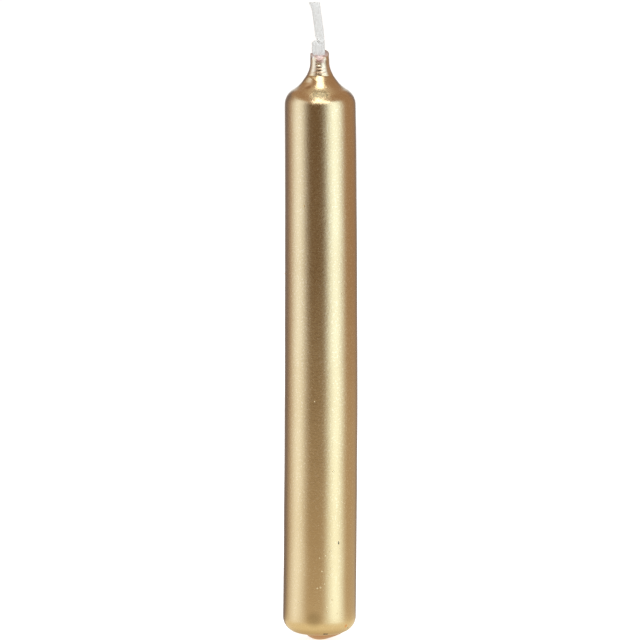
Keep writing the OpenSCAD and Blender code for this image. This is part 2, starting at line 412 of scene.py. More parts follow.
drop = bmesh.new()
end = drop.verts.new((0, 0, 0))
end = draw_arc(drop, end, Vector((0, drip_ball)), drip_angle, DRIP_STEPS)
end = draw_arc(drop, end, Vector((DRIP_REACH, DRIP_DEPTH - DRIP_SWEEP)), -drip_angle, SWEEP_STEPS)
end = draw_line(drop, end, DRIP_REACH - DRIP_SUNK, DRIP_DEPTH + DRIP_SUNK)
draw_line(drop, end, 0, DRIP_DEPTH + DRIP_SUNK)
divide(drop, DRIP_CELL)
turn(drop)
for vert in drop.verts:
    x, y, z = vert.co
    radius = max(math.hypot(x, y), AXIS_NEAR)
    spread = 1 + DRIP_SPREAD * max(x / radius, 0) ** 2 * ease(radius, DRIP_SPREAD_R, DRIP_REACH)
    spread -= DRIP_DRAWN * max(-x / radius, 0)
    up_edge = max(radius * spread - base_centre.x, 0)
    rise = BASE_FILLET - math.sqrt(BASE_FILLET ** 2 - up_edge ** 2)
    pull = DRIP_PULL * math.sin(min(z / DRIP_DEPTH, 1) * DRIP_WAVE)
    vert.co = (x * spread + pull + bow_at(0), y * spread, z + rise)
drip = make_piece("lacquer_drip", drop, "drip_lacquer", "drip_bead")

# %% [markdown]
# ## The wax under the lacquer
# The second dip shows only inside the neck's rim, where it hugs the wick and its cut face is a shallow cup.
# It could be a plug in the neck, but it is turned as a closed wall, so that the piece is the whole coat. The
# cup is the bridge between its two cuts, divided and sunk in the middle, and sunk deeper on the right.

# %% Turn the overdip, cut it and sink its cup
CORE_R, CORE_BASE = 5.9, 2.1
COAT_GAP = 0.02
# The wick's channel: half its width and depth, and how far under the cone's top it starts and is flattened
CHANNEL_W, CHANNEL_T, CHANNEL_START, CHANNEL_FLAT = 0.85, 0.5, 0.2, 1
# The cup: how far under the lacquer's rim, its depth, its cuts, and how much it is drawn inwards
CUP_LOWER, CUP_DEPTH, CUP_CUTS, CUP_INWARDS = 0.02, 0.08, 6, 1.15
# How much deeper it is on the right, and the half width of that place in radians
CUP_RIGHT, CUP_RIGHT_W = 5, 0.8
ON_CUT = 1e-3

coat = bmesh.new()
draw_side(coat, LACQUER_BASE + COAT_GAP, LACQUER_TOP + COAT_GAP, INNER_STEPS)
inner = coat.verts.new((0, 0, CORE_BASE))
inner = draw_line(coat, inner, base_centre.x, CORE_BASE)
inner = draw_arc(coat, inner, base_centre, math.pi / 2, INNER_STEPS)
inner = draw_line(coat, inner, CORE_R, shoulder_centre.y)
inner = draw_arc(coat, inner, shoulder_centre, SHOULDER_SLOPE, INNER_STEPS)
inner = draw_arc(coat, inner, flare_centre, CONE_SLOPE - SHOULDER_SLOPE, INNER_STEPS)
inner = draw_line(coat, inner, CHANNEL_W, cone_top.y - CHANNEL_START)
draw_line(coat, inner, CHANNEL_W, NECK_END)
turn(coat)
cup_faces = cut_rim(coat, CUP_LOWER)
across = dict.fromkeys(
    edge for face in cup_faces for edge in face.edges
    if all(other in cup_faces for other in edge.link_faces))
bmesh.ops.subdivide_edges(coat, edges=list(across), cuts=CUP_CUTS, use_grid_fill=True)
for vert in coat.verts:
    x, y, z = vert.co
    radius = math.hypot(x, y)
    over_cut = (vert.co - rim_middle).dot(rim_normal) + CUP_LOWER
    if abs(over_cut) < ON_CUT and radius < NECK_R:
        share = ease(radius, CHANNEL_W, NECK_R - LACQUER_TOP)
        deeper = 1 + CUP_RIGHT * bell(math.atan2(y, x), CUP_RIGHT_W)
        vert.co -= rim_normal * CUP_DEPTH * deeper * math.sin(math.pi * min(share * CUP_INWARDS, 1))
    if radius < CHANNEL_W + ON_CUT and z > cone_top.y - CHANNEL_FLAT:
        vert.co.y *= CHANNEL_T / CHANNEL_W
dip(coat)
overdip = make_piece("overdip_wax", coat, "overdip_wax", "dip_coat")

# %% [markdown]
# ## The wick
# The wick is a flat braid of three cotton strands, stiff with wax. It stands out of the neck, leans to the
# left and ends in a splayed cut. Each strand of a plait swings from side to side as it goes up, and passes
# over and then under its neighbours, so at each place the strand that lies highest shows. Three separate
# strands could be plaited, but wax has joined them, so that rule gives the relief of one strip. The strip
# itself is a ring that is extruded upwards again and again.

# %% Work out the lean, the plait and the fold
WICK_W, WICK_T, WICK_FREE, WICK_FOOT = 1.6, 0.9, 9.15, -3.0
# The lean: its angle, the height above the rim where it starts, and the length over which it builds up
LEAN, LEAN_START, LEAN_BUILD = math.radians(8.2), 2.0, 3.0
# The plait: its strands and step upwards, then a strand's half width, swing and height where it lies under
STRANDS, PLAIT_STEP, STRAND_R, STRAND_SWING, STRAND_UNDER = 3, 2.4, 0.3, 0.42, 0.45
# The fold's upper edge: its height, how far it is rounded off on the left and falls to the right, and where
FOLD_TOP, FOLD_ROUND, FOLD_FALL = 2.5, 0.3, 0.65
FOLD_LEFT, FOLD_HIGH, FOLD_RIGHT = -1.4, -0.75, 0.1
FADE_FROM, FADE_TO = -0.1, 0.55


def lean_at(height):
    """Sideways place of the wick's middle at a height above the rim."""
    rise = height - LEAN_START
    if rise < 0:
        return 0.0
    if rise < LEAN_BUILD:
        return -math.tan(LEAN) * rise ** 2 / (2 * LEAN_BUILD)
    return -math.tan(LEAN) * (rise - LEAN_BUILD / 2)


def plait_at(across, height, face):
    """Height of the plait, from 0 to 1, at a place across the strip on its front (-1) or back (1) face."""
    best = 0.0
    for strand in range(STRANDS):
        phase = math.tau * (height / PLAIT_STEP + strand / STRANDS)
        away = (across - STRAND_SWING * math.sin(phase)) / STRAND_R
        over = (1 - face * math.sin(2 * phase)) / 2
        best = max(best, (1 - away * away) * at_least(STRAND_UNDER, over))
    return best


def fold_at(across):
    """Height above the rim of the fold's upper edge, which slants down to the right, across the wick."""
    rounded = FOLD_ROUND * ease(-across, -FOLD_HIGH, -FOLD_LEFT)
    return FOLD_TOP - rounded - FOLD_FALL * ease(across, FOLD_HIGH, FOLD_RIGHT)


def fading(across):
    """How far the fold stands out across the wick: fully on the left, and not at all on the right."""
    return 1 - ease(across, FADE_FROM, FADE_TO)


print("the wick's end leans", round(lean_at(WICK_FREE), 2), "mm to the side")

# %% Extrude the strip and lay the plait on it
RING_SIDES, RING_RISE = 48, 0.06
# Powers that square off the ring across the strip and through it
STRIP_SIDE, STRIP_FACE = 0.75, 0.6
# The cut end: how far it splays, over which length, past the end, how suddenly, and how much thinner it is
SPLAY_W, SPLAY_LENGTH, SPLAY_PAST, SPLAY_POWER, SPLAY_THIN = 0.36, 1.5, 0.3, 1.2, 0.25
FRAY, FRAY_SCALE = 0.1, 3
# The strip is drawn in on the left at the fold, and wider on the right at its foot: how far, and heights
DRAWN_IN, DRAWN_FROM, DRAWN_TO = 0.34, 2.3, 3.4
FOOT_W, FOOT_FROM, FOOT_TO = 0.12, 1.2, 3.4
OVERHANG, OVERHANG_UP, OVERHANG_W = 0.28, 0.3, 0.28
PLAIT_RELIEF, PLAIT_MEAN = 0.05, 0.6


def loft(bm, sides, rows):
    """Extrudes a ring of radius 1 upwards into a closed tube, one unit for each row."""
    ring = bmesh.ops.create_circle(bm, cap_ends=True, segments=sides, radius=1)["verts"]
    edges = dict.fromkeys(edge for vert in ring for edge in vert.link_edges)
    for _ in range(rows):
        made = bmesh.ops.extrude_edge_only(bm, edges=list(edges))["geom"]
        ring = dict.fromkeys(item for item in made if isinstance(item, bmesh.types.BMVert))
        edges = dict.fromkeys(
            edge for vert in ring for edge in vert.link_edges if all(v in ring for v in edge.verts))
        bmesh.ops.translate(bm, vec=(0, 0, 1), verts=list(ring))
    bmesh.ops.contextual_create(bm, geom=list(edges))
    return bm


def squared(value, power):
    """Pushes a circle's sine or cosine outwards, which squares the circle."""
    return math.copysign(abs(value) ** power, value)


rows = round((WICK_FREE - WICK_FOOT) / RING_RISE)
braid = loft(bmesh.new(), RING_SIDES, rows)
for vert in braid.verts:
    height = WICK_FOOT + vert.co.z * RING_RISE
    side, face = squared(vert.co.x, STRIP_SIDE), squared(vert.co.y, STRIP_FACE)
    across = side * WICK_W / 2
    splay = ease(height, WICK_FREE - SPLAY_LENGTH, WICK_FREE + SPLAY_PAST) ** SPLAY_POWER
    drawn_in = DRAWN_IN * (1 - ease(height, DRAWN_FROM, DRAWN_TO))
    widened = FOOT_W * max(side, 0) * (1 - ease(height, FOOT_FROM, FOOT_TO))
    relief = PLAIT_RELIEF * (plait_at(across, height, math.copysign(1, face)) - PLAIT_MEAN) * abs(face)
    overhang = OVERHANG * bell(height - fold_at(across) - OVERHANG_UP, OVERHANG_W) * fading(across)
    deep = WICK_T / 2 * (1 - SPLAY_THIN * splay) + relief + (overhang if face < 0 else 0)
    x = across + widened + lean_at(height) + (drawn_in - SPLAY_W * splay) * (1 - side) / 2
    y = face * deep
    frayed = FRAY * splay * noise.noise(Vector((across, y, 0)) * FRAY_SCALE)
    vert.co = (x + bow_at(RIM_Z), y, RIM_Z + height + frayed)
print("rows on the wick:", rows)

# %% [markdown]
# At its foot the braid is folded: a short lobe of it, soaked in wax, bulges to the left above the rim, and
# its slanted upper edge makes a crease across the strip. The strip could be bent double, but its two
# layers have run together, so the lobe is one more ring, extruded and then swollen.

# %% Swell the folded lobe at the wick's foot
LOBE_ROWS, LOBE_FOOT = 44, -1.5
# Its middle and width, how far it stands out in front and behind, and how far inside the strip it starts
LOBE_X, LOBE_W, LOBE_FRONT, LOBE_BACK, LOBE_SUNK = -0.27, 2.26, 0.34, 0.5, 0.05
LOBE_SIDE, LOBE_FACE = 0.8, 0.75
# The share of its height where its top starts to close, and the least thickness there, squared
LOBE_CLOSE, LOBE_TIP = 0.93, 0.02
# Heights between which it swells out of the neck, and how wide and deep it is before that
LOBE_SWELL_FROM, LOBE_SWELL_TO, LOBE_SLIM_W, LOBE_SLIM_T = -1.0, 0.9, 0.78, 0.75
LOBE_GROOVE, LOBE_GROOVE_X, LOBE_GROOVE_W = 0.16, -0.8, 0.12

lobe = loft(bmesh.new(), RING_SIDES, LOBE_ROWS)
for vert in lobe.verts:
    up = vert.co.z / LOBE_ROWS
    side, face = squared(vert.co.x, LOBE_SIDE), squared(vert.co.y, LOBE_FACE)
    x = LOBE_X + side * LOBE_W / 2
    height = LOBE_FOOT + (fold_at(x) - LOBE_FOOT) * up
    closing = math.sqrt(max(1 - max((up - LOBE_CLOSE) / (1 - LOBE_CLOSE), 0) ** 2, LOBE_TIP))
    swollen = ease(height, LOBE_SWELL_FROM, LOBE_SWELL_TO)
    deep = WICK_T / 2 - LOBE_SUNK + LOBE_FRONT * fading(x) if face < 0 else LOBE_BACK
    groove = LOBE_GROOVE * bell(x - LOBE_GROOVE_X, LOBE_GROOVE_W) * swollen
    y = face * (deep - groove) * closing * at_least(LOBE_SLIM_T, swollen)
    vert.co = (x * at_least(LOBE_SLIM_W, swollen) + bow_at(RIM_Z), y, RIM_Z + height)
folded = bpy.data.meshes.new("folded_lobe")
lobe.to_mesh(folded)
lobe.free()
braid.from_mesh(folded)
wick = make_piece("wick_braid", braid, "cotton_braid", "wick")

# %% [markdown]
# ## Finishes
# Each finish is a small graph of nodes on the Principled shader. Patterns read Object coordinates, which are
# metres on the candle, so a pattern of 0.3 mm is a scale of one over 0.0003. Colours are written as they
# would be picked on screen, and one function turns them to the linear values that the shader adds up.

# %% Colours and nodes
# The two colours of a Mix node share their names with other inputs of it, so they go by number.
UNDER, OVER = 6, 7


def linear(code):
    """Linear colour of an sRGB hex value."""
    parts = [int(code[at:at + 2], 16) / 255 for at in (1, 3, 5)]
    return (*[part / 12.92 if part <= 0.04045 else ((part + 0.055) / 1.055) ** 2.4 for part in parts], 1)


def add(tree, kind, inputs=(), stops=(), **settings):
    """Adds a node, sets it up, fills its inputs with values or links, and returns the first output it shows.

    The stops are for a colour ramp, each a place and a hex colour.
    """
    node = tree.nodes.new("ShaderNode" + kind)
    for name, value in settings.items():
        setattr(node, name, value)
    for number, (spot, code) in enumerate(stops):
        node.color_ramp.elements[number].position = spot
        node.color_ramp.elements[number].color = linear(code)
    for name, value in dict(inputs).items():
        if isinstance(value, bpy.types.NodeSocket):
            tree.links.new(value, node.inputs[name])
        else:
            node.inputs[name].default_value = value
    return next((output for output in node.outputs if output.enabled), None)


def new_finish(name):
    """An empty material, its tree, and the coordinates that its patterns read."""
    material = bpy.data.materials.new(name)
    material.use_nodes = True
    tree = material.node_tree
    tree.nodes.clear()
    return material, tree, add(tree, "TexCoord").node.outputs["Object"]


print("mid grey on screen is", round(linear("#808080")[0], 3), "in linear light")

# %% [markdown]
# ### Gold lacquer
# Bronze powder in a clear lacquer, dipped and hung to dry. The powder makes it a metal to the eye, with faint
# dark flecks and a few bright flakes, and the clear lacquer over it adds a thin gloss that turns grey at the
# edges. A painted picture of it could be wrapped round, but it would stretch at the neck, so its colour is
# noise in real sizes, and changes with height as the wet lacquer did when it drained.

# %% Mix the gold's colour
# Powder is finer than a pixel here, so its flecks and flakes are drawn several times too coarse, to show.
CLOUD_MM, GRAIN_MM, FLAKE_MM = 16.0, 0.34, 0.3
# The grain is weaker at the foot: its least share, and the heights where it starts to grow and is full
GRAIN_LEAST, GRAIN_FROM, GRAIN_FULL = 0.4, 5, 30
FLECK_SHARE = 0.2
# Flakes: the noise where they start and are full, how strong they are then, and their colour
FLAKE_FROM, FLAKE_FULL, FLAKE_SHARE, FLAKE_COLOUR = 0.61, 0.74, 0.2, "#FFF4DC"

gold, tree, place = new_finish("bronze_powder_lacquer")
_, behind, height = add(tree, "SeparateXYZ", {"Vector": place}).node.outputs
cloud = add(tree, "TexNoise", {"Vector": place, "Scale": 1 / (CLOUD_MM * MM), "Detail": 3.0})
grain = add(tree, "TexNoise", {
    "Vector": place, "Scale": 1 / (GRAIN_MM * MM), "Detail": 2.0, "Roughness": 0.6})
flake = add(tree, "TexNoise", {"Vector": place, "Scale": 1 / (FLAKE_MM * MM), "Detail": 0.0})
tone = add(tree, "ValToRGB", {"Fac": cloud}, stops=((0.3, "#D6BD91"), (0.7, "#DEC89E")))
fleck = add(tree, "ValToRGB", {"Fac": grain}, stops=((0.3, "#DAD4CA"), (0.6, "#FFFFFF")))
coarse = add(tree, "MapRange", {
    "Value": height, "From Min": GRAIN_FROM * MM, "From Max": GRAIN_FULL * MM, "To Min": GRAIN_LEAST})
share = add(tree, "Math", {0: coarse, 1: FLECK_SHARE}, operation="MULTIPLY")
colour = add(tree, "Mix", {"Factor": share, UNDER: tone, OVER: fleck},
             data_type="RGBA", blend_type="MULTIPLY")
glint = add(tree, "MapRange", {
    "Value": flake, "From Min": FLAKE_FROM, "From Max": FLAKE_FULL, "To Max": FLAKE_SHARE})
glint = add(tree, "Math", {0: glint, 1: coarse}, operation="MULTIPLY")
colour = add(tree, "Mix", {"Factor": glint, UNDER: colour, OVER: linear(FLAKE_COLOUR)}, data_type="RGBA")
print("flecks and flakes in mm:", GRAIN_MM, FLAKE_MM)

# %% Let the colour change with height, and paint a highlight on the bubbles
# Each: from which height to which, in millimetres, how strong, its colour, and how it is laid on.
BANDS = {
    "warmer where it drained": (65, 30, 1.0, "#FFFBF3", "MULTIPLY"),
    "redder where it pooled": (2.0, 1.2, 0.95, "#DAA985", "MIX"),
    "paler on the neck": (100.9, 101.7, 0.42, "#F0E6D8", "MIX"),
}
# The bubbles are real bumps; their paler colour is a painted highlight, the glint that each bump catches.
BUBBLE_HIGHLIGHT_COLOUR = "#EAD8AE"

for start, full, share, code, laid_on in BANDS.values():
    band = add(tree, "MapRange", {
        "Value": height, "From Min": start * MM, "From Max": full * MM, "To Max": share})
    colour = add(tree, "Mix", {"Factor": band, UNDER: colour, OVER: linear(code)},
                 data_type="RGBA", blend_type=laid_on)
bubble_highlight = add(tree, "Attribute", attribute_name="bubble").node.outputs["Fac"]
colour = add(tree, "Mix", {"Factor": bubble_highlight, UNDER: colour, OVER: linear(BUBBLE_HIGHLIGHT_COLOUR)}, data_type="RGBA")
print("bands of colour:", list(BANDS))

# %% [markdown]
# Handling left its marks: chips and specks at the foot, a short scratch and a worn lip. Other spots are
# painted light: a dark reflection on the foot, shade in the neck's wrinkles, and a highlight and a shade
# by the dent on the cone. They could be painted by hand. A spot is simpler: a soft ball round a place,
# inside which the lacquer takes another colour.

# %% Add the marks of handling and the spots of painted light and shade
# Each: its place in millimetres, its radius, how strong it is, and its colour.
FLAWS_AND_PAINTED_LIGHT = {
    # A painted dark reflection on the front of the foot.
    "painted dark reflection": ((-1.0, -6.4, 4.9), 2.0, 0.4, "#8C7446"),
    "chip": ((0.9, -5.3, 2.0), 0.4, 1.0, "#3C2A1E"),
    "chip's end": ((1.3, -5.2, 1.97), 0.38, 1.0, "#3C2A1E"),
    "orange speck": ((4.69, -4.2, 3.27), 0.5, 0.8, "#DE9648"),
    "dark speck": ((5.04, -3.4, 2.78), 0.3, 0.7, "#6E6048"),
    "scratch's top": ((3.38, -5.6, 18.8), 0.16, 0.8, "#2A1C10"),
    "scratch": ((3.38, -5.6, 18.6), 0.19, 1.0, "#2A1C10"),
    "scratch's foot": ((3.38, -5.6, 18.42), 0.2, 1.0, "#2A1C10"),
    "pink edge": ((-0.4, -5.2, 1.9), 0.7, 0.5, "#E0AC90"),
    # Painted shade darkens two wrinkles on the front of the neck.
    "shade in the upper wrinkle": ((-0.05, -1.8, 102.2), 0.65, 0.85, "#7A6248"),
    "shade in the lower wrinkle": ((-0.05, -2.0, 101.6), 0.6, 0.85, "#7A6248"),
    "worn lip": ((1.0, -1.3, 103.35), 0.75, 0.55, "#9C8468"),
    # A painted highlight and a painted shade by the dent on the cone, where the dent catches and loses the
    # light.
    "painted highlight on the cone": ((-2.0, -2.5, 99.85), 1.15, 1.0, "#FFF0D0"),
    "painted shade on the cone": ((-1.95, -3.2, 99.2), 0.8, 0.6, "#A88050"),
}
SPOT_CORE = 0.2

for centre, radius, strength, code in FLAWS_AND_PAINTED_LIGHT.values():
    away = add(tree, "VectorMath", {0: place, 1: Vector(centre) * MM}, operation="DISTANCE")
    spot = add(tree, "MapRange", {
        "Value": away, "From Min": radius * MM, "From Max": SPOT_CORE * radius * MM, "To Max": strength},
        interpolation_type="SMOOTHSTEP")
    colour = add(tree, "Mix", {"Factor": spot, UNDER: colour, OVER: linear(code)}, data_type="RGBA")
print("marks:", list(FLAWS_AND_PAINTED_LIGHT))

# %% [markdown]
# At the rim the gold is so thin that the wax shows through, pink: in patches on the front lip, along the
# inner edge, and at one pale corner. The skin could be cut out there, but no step shows, so this is only a
# change of finish. Distances from the lip, the candle's axis and the corner say where each one is.

# %% Wear the gold thin at the rim
WEAR_MM = 0.7
# A place, the distances from it where the wear starts and is full, and its colour
LIP, LIP_FADED, LIP_FULL, LIP_COLOUR = Vector((0.1, -1.55, 104.0)), 1.5, 0.4, "#B69184"
CORNER, CORNER_FADED, CORNER_FULL, CORNER_COLOUR = Vector((-1.35, -1.0, 104.6)), 0.65, 0.3, "#E4E0E0"
# The noise at which a patch on the lip starts and is full
PATCH_FROM, PATCH_FULL = 0.3, 0.5
# The inner edge: the radii and the heights where it starts and is full, and its colour
EDGE_R, EDGE_FULL_R = NECK_R - 0.03, NECK_R - 0.8 * LACQUER_TOP
EDGE_Z, EDGE_FULL_Z, EDGE_COLOUR = RIM_Z - 2, RIM_Z - 1, "#D0B8B2"
BARE_METAL = 0.25

wear = add(tree, "TexNoise", {"Vector": place, "Scale": 1 / (WEAR_MM * MM), "Detail": 2.0})
from_lip = add(tree, "VectorMath", {0: place, 1: LIP * MM}, operation="DISTANCE")
thin = add(tree, "MapRange", {"Value": from_lip, "From Min": LIP_FADED * MM, "From Max": LIP_FULL * MM})
patchy = add(tree, "Math", {0: thin, 1: wear}, operation="MULTIPLY")
patches = add(tree, "MapRange", {"Value": patchy, "From Min": PATCH_FROM, "From Max": PATCH_FULL})
level = add(tree, "VectorMath", {0: place, 1: (1, 1, 0)}, operation="MULTIPLY")
radius = add(tree, "VectorMath", {0: level}, operation="LENGTH")
inside = add(tree, "MapRange", {"Value": radius, "From Min": EDGE_R * MM, "From Max": EDGE_FULL_R * MM})
high = add(tree, "MapRange", {"Value": height, "From Min": EDGE_Z * MM, "From Max": EDGE_FULL_Z * MM})
edge = add(tree, "Math", {0: inside, 1: high}, operation="MULTIPLY")
from_corner = add(tree, "VectorMath", {0: place, 1: CORNER * MM}, operation="DISTANCE")
pale = add(tree, "MapRange", {
    "Value": from_corner, "From Min": CORNER_FADED * MM, "From Max": CORNER_FULL * MM})
for worn, code in ((patches, LIP_COLOUR), (edge, EDGE_COLOUR), (pale, CORNER_COLOUR)):
    colour = add(tree, "Mix", {"Factor": worn, UNDER: colour, OVER: linear(code)}, data_type="RGBA")
bare = add(tree, "Math", {0: patches, 1: edge}, operation="MAXIMUM")
metal = add(tree, "MapRange", {"Value": bare, "To Min": 1.0, "To Max": BARE_METAL})
print("gold worn round", [round(part, 2) for part in LIP], "and", [round(part, 2) for part in CORNER])

# %% [markdown]
# Under the streak on the flare, the lacquer dried to a dull, speckled fan that is wider below. It could be
# one more spot, but its edge is frayed. So it is a soft box in front: how far a place is sideways and
# upwards from the fan's middle, with the speckle added to both measures.

# %% Dull a fan on the shoulder
# Its lowest and highest height, half its width at the middle, and how fast it narrows upwards
DULL_LOW, DULL_HIGH, DULL_W, DULL_FAN = 97.5, 98.68, 1.4, 0.5
# How soft and how ragged its edges are, and how far in front of the axis it is full
DULL_SOFT, DULL_RAG, DULL_FRONT = 0.55, 0.8, 1
SPECKLE_MM, SPECKLE_MEAN = 0.22, 0.5
DULL_METAL, DULL_ROUGH = 0.35, 0.1

speckle = add(tree, "TexNoise", {"Vector": place, "Scale": 1 / (SPECKLE_MM * MM), "Detail": 1.0})
middle = Vector((bow_at(DULL_LOW), 0, (DULL_LOW + DULL_HIGH) / 2)) * MM
offset = add(tree, "VectorMath", {0: place, 1: middle}, operation="SUBTRACT")
upwards = add(tree, "SeparateXYZ", {"Vector": offset}).node.outputs["Z"]
apart = add(tree, "VectorMath", {0: offset}, operation="ABSOLUTE")
sideways, _, tall = add(tree, "SeparateXYZ", {"Vector": apart}).node.outputs
sideways = add(tree, "Math", {0: upwards, 1: DULL_FAN, 2: sideways}, operation="MULTIPLY_ADD")
ragged = add(tree, "Math", {0: speckle, 1: SPECKLE_MEAN}, operation="SUBTRACT")
dull = add(tree, "MapRange", {"Value": behind, "From Min": 0, "From Max": -DULL_FRONT * MM})
for measure, half in ((sideways, DULL_W), (tall, (DULL_HIGH - DULL_LOW) / 2)):
    frayed = add(tree, "Math", {0: ragged, 1: DULL_RAG * MM, 2: measure}, operation="MULTIPLY_ADD")
    within = add(tree, "MapRange", {
        "Value": frayed, "From Min": (half + DULL_SOFT) * MM, "From Max": (half - DULL_SOFT) * MM},
        interpolation_type="SMOOTHSTEP")
    dull = add(tree, "Math", {0: dull, 1: within}, operation="MULTIPLY")
haze = add(tree, "ValToRGB", {"Fac": speckle}, stops=((0.36, "#7A6A46"), (0.64, "#B49E6A")))
colour = add(tree, "Mix", {"Factor": dull, UNDER: colour, OVER: haze}, data_type="RGBA")
hazy = add(tree, "MapRange", {"Value": dull, "To Min": 1.0, "To Max": DULL_METAL})
metal = add(tree, "Math", {0: metal, 1: hazy}, operation="MULTIPLY")
print("dull from", DULL_LOW, "to", DULL_HIGH, "mm, and", 2 * DULL_W, "mm wide")

# %% [markdown]
# The surface has a soft orange peel, nearly two millimetres from swell to swell, and the powder's grain on
# it, which makes the gloss uneven too. Both are hundredths of a millimetre high, too fine for a mesh, so
# bump nodes tilt the light instead. The clear lacquer over the powder is the shader's coat.

# %% Give the lacquer its grain and its gloss
PEEL_MM, PEEL_HIGH, GRAIN_HIGH = 1.8, 0.02, 0.015
GLOSSIEST, DULLEST = 0.2, 0.3

peel = add(tree, "TexNoise", {"Vector": place, "Scale": 1 / (PEEL_MM * MM), "Detail": 2.0})
peeled = add(tree, "Bump", {"Height": peel, "Strength": 0.5, "Distance": PEEL_HIGH * MM})
grained = add(tree, "Bump", {
    "Height": grain, "Strength": coarse, "Distance": GRAIN_HIGH * MM, "Normal": peeled})
sheen = add(tree, "MapRange", {"Value": grain, "To Min": GLOSSIEST, "To Max": DULLEST})
duller = add(tree, "Math", {0: dull, 1: DULL_ROUGH}, operation="MULTIPLY")
rough = add(tree, "Math", {0: sheen, 1: duller}, operation="ADD")
shader = add(tree, "BsdfPrincipled", {
    "Base Color": colour, "Metallic": metal, "Roughness": rough, "Normal": grained,
    "Coat Weight": 0.4, "Coat Roughness": 0.14, "Coat IOR": 1.5})
add(tree, "OutputMaterial", {"Surface": shader})
lacquer.data.materials.append(gold)
drip.data.materials.append(gold)
print("nodes in the gold lacquer:", len(tree.nodes))

# %% [markdown]
# ### Waxes
# The overdip is a soft blend that lets light in, so it glows from within, and the lacquer that soaked its
# edge mottled it with pink. The core is a plain drawn wax, faintly uneven and out of sight. Satin plastic
# would come close, but the light that spreads under the surface is what tells wax from it.

# %% Make the dipped wax and the drawn wax
# Light goes deeper into wax at the red end
WAX_IOR, WAX_SPREAD = 1.44, (1.0, 0.7, 0.5)
DIPPED_MOTTLE_MM, DIPPED_GLOW_MM = 0.6, 0.6
DRAWN_MOTTLE_MM, DRAWN_GLOW_MM, DRAWN_HIGH = 2.5, 1.5, 0.05

dipped, tree, place = new_finish("dipped_wax")
mottle = add(tree, "TexNoise", {"Vector": place, "Scale": 1 / (DIPPED_MOTTLE_MM * MM), "Detail": 3.0})
tint = add(tree, "ValToRGB", {"Fac": mottle}, stops=((0.35, "#BC9082"), (0.62, "#E4C6C0")))
shader = add(tree, "BsdfPrincipled", {
    "Base Color": tint, "Roughness": 0.35, "IOR": WAX_IOR,
    "Subsurface Weight": 0.6, "Subsurface Radius": WAX_SPREAD, "Subsurface Scale": DIPPED_GLOW_MM * MM})
add(tree, "OutputMaterial", {"Surface": shader})
overdip.data.materials.append(dipped)

drawn, tree, place = new_finish("drawn_wax")
mottle = add(tree, "TexNoise", {"Vector": place, "Scale": 1 / (DRAWN_MOTTLE_MM * MM), "Detail": 3.0})
tint = add(tree, "ValToRGB", {"Fac": mottle}, stops=((0.3, "#EFE7D3"), (0.7, "#F7F1E2")))
uneven = add(tree, "Bump", {"Height": mottle, "Strength": 0.3, "Distance": DRAWN_HIGH * MM})
shader = add(tree, "BsdfPrincipled", {
    "Base Color": tint, "Roughness": 0.45, "IOR": WAX_IOR, "Normal": uneven,
    "Subsurface Weight": 0.5, "Subsurface Radius": WAX_SPREAD, "Subsurface Scale": DRAWN_GLOW_MM * MM})
add(tree, "OutputMaterial", {"Surface": shader})
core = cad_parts["wax_core"]
core.data.materials.clear()
core.data.materials.append(drawn)
print("waxes:", dipped.name, drawn.name)

# %% [markdown]
# ### Waxed cotton
# The braid is bleached cotton, soaked in wax, so it is smooth, hardly glossy and a little translucent, and
# only its grooves and faint streaks of fibre show that it is a braid. Fibres could be hair, but wax holds
# them flat, so a noise that is drawn out along the wick stands for them.

# %% Make the waxed cotton
# Cotton fibres are finer than a pixel here, so their streaks are drawn several times too coarse, to show.
FIBRE_MM, FIBRE_UPWARDS, FIBRE_HIGH, COTTON_GLOW_MM = 0.12, 0.3, 0.03, 0.2

cotton, tree, place = new_finish("waxed_cotton")
drawn_out = add(tree, "Mapping", {"Vector": place, "Scale": (1, 1, FIBRE_UPWARDS)})
fibre = add(tree, "TexNoise", {"Vector": drawn_out, "Scale": 1 / (FIBRE_MM * MM), "Detail": 2.0})
tint = add(tree, "ValToRGB", {"Fac": fibre}, stops=((0.3, "#E4E5E4"), (0.7, "#ECEDEC")))
fuzzy = add(tree, "Bump", {"Height": fibre, "Strength": 0.1, "Distance": FIBRE_HIGH * MM})
shader = add(tree, "BsdfPrincipled", {
    "Base Color": tint, "Roughness": 0.6, "IOR": 1.45, "Normal": fuzzy,
    "Subsurface Weight": 0.12, "Subsurface Radius": (1.0, 1.0, 1.0), "Subsurface Scale": COTTON_GLOW_MM * MM})
add(tree, "OutputMaterial", {"Surface": shader})
wick.data.materials.append(cotton)
print("finishes:", [material.name for material in bpy.data.materials if material.users])

# %% [markdown]
# ## The studio
# A mirror-like thing shows its surroundings, so the bands on the candle are pictures of the studio. The
# floor is white and keeps the candle's shadow. Round it stands a card that only reflections see, painted as
# the room looks from the candle: brown walls, a dark gap behind the camera, a tall soft box on either side
# and a pale strip behind. Lamps alone could make the bands, but a lamp's edge is hard, and the bands in
# the photograph fade slowly.

# %% Lay the floor
FLOOR_R = 3.0
FLOOR_LIFT = 0.79
SHEET_STEPS, SHEET_WELD = 96, 1e-6


def seen_directly(tree):
    """1 for what the camera sees, straight, mirrored or through glass, and 0 for light that bounces on."""
    path = add(tree, "LightPath").node.outputs
    mirrored = add(tree, "Math", {0: path["Is Camera Ray"], 1: path["Is Glossy Ray"]}, operation="ADD")
    return add(tree, "Math", {0: mirrored, 1: path["Is Transmission Ray"]}, operation="ADD")


def round_from_camera(degrees, distance, height=0.0):
    """A place in metres at an angle round from the camera, above 0 towards the right."""
    angle = math.radians(degrees)
    return Vector((distance * math.sin(angle), -distance * math.cos(angle), height))


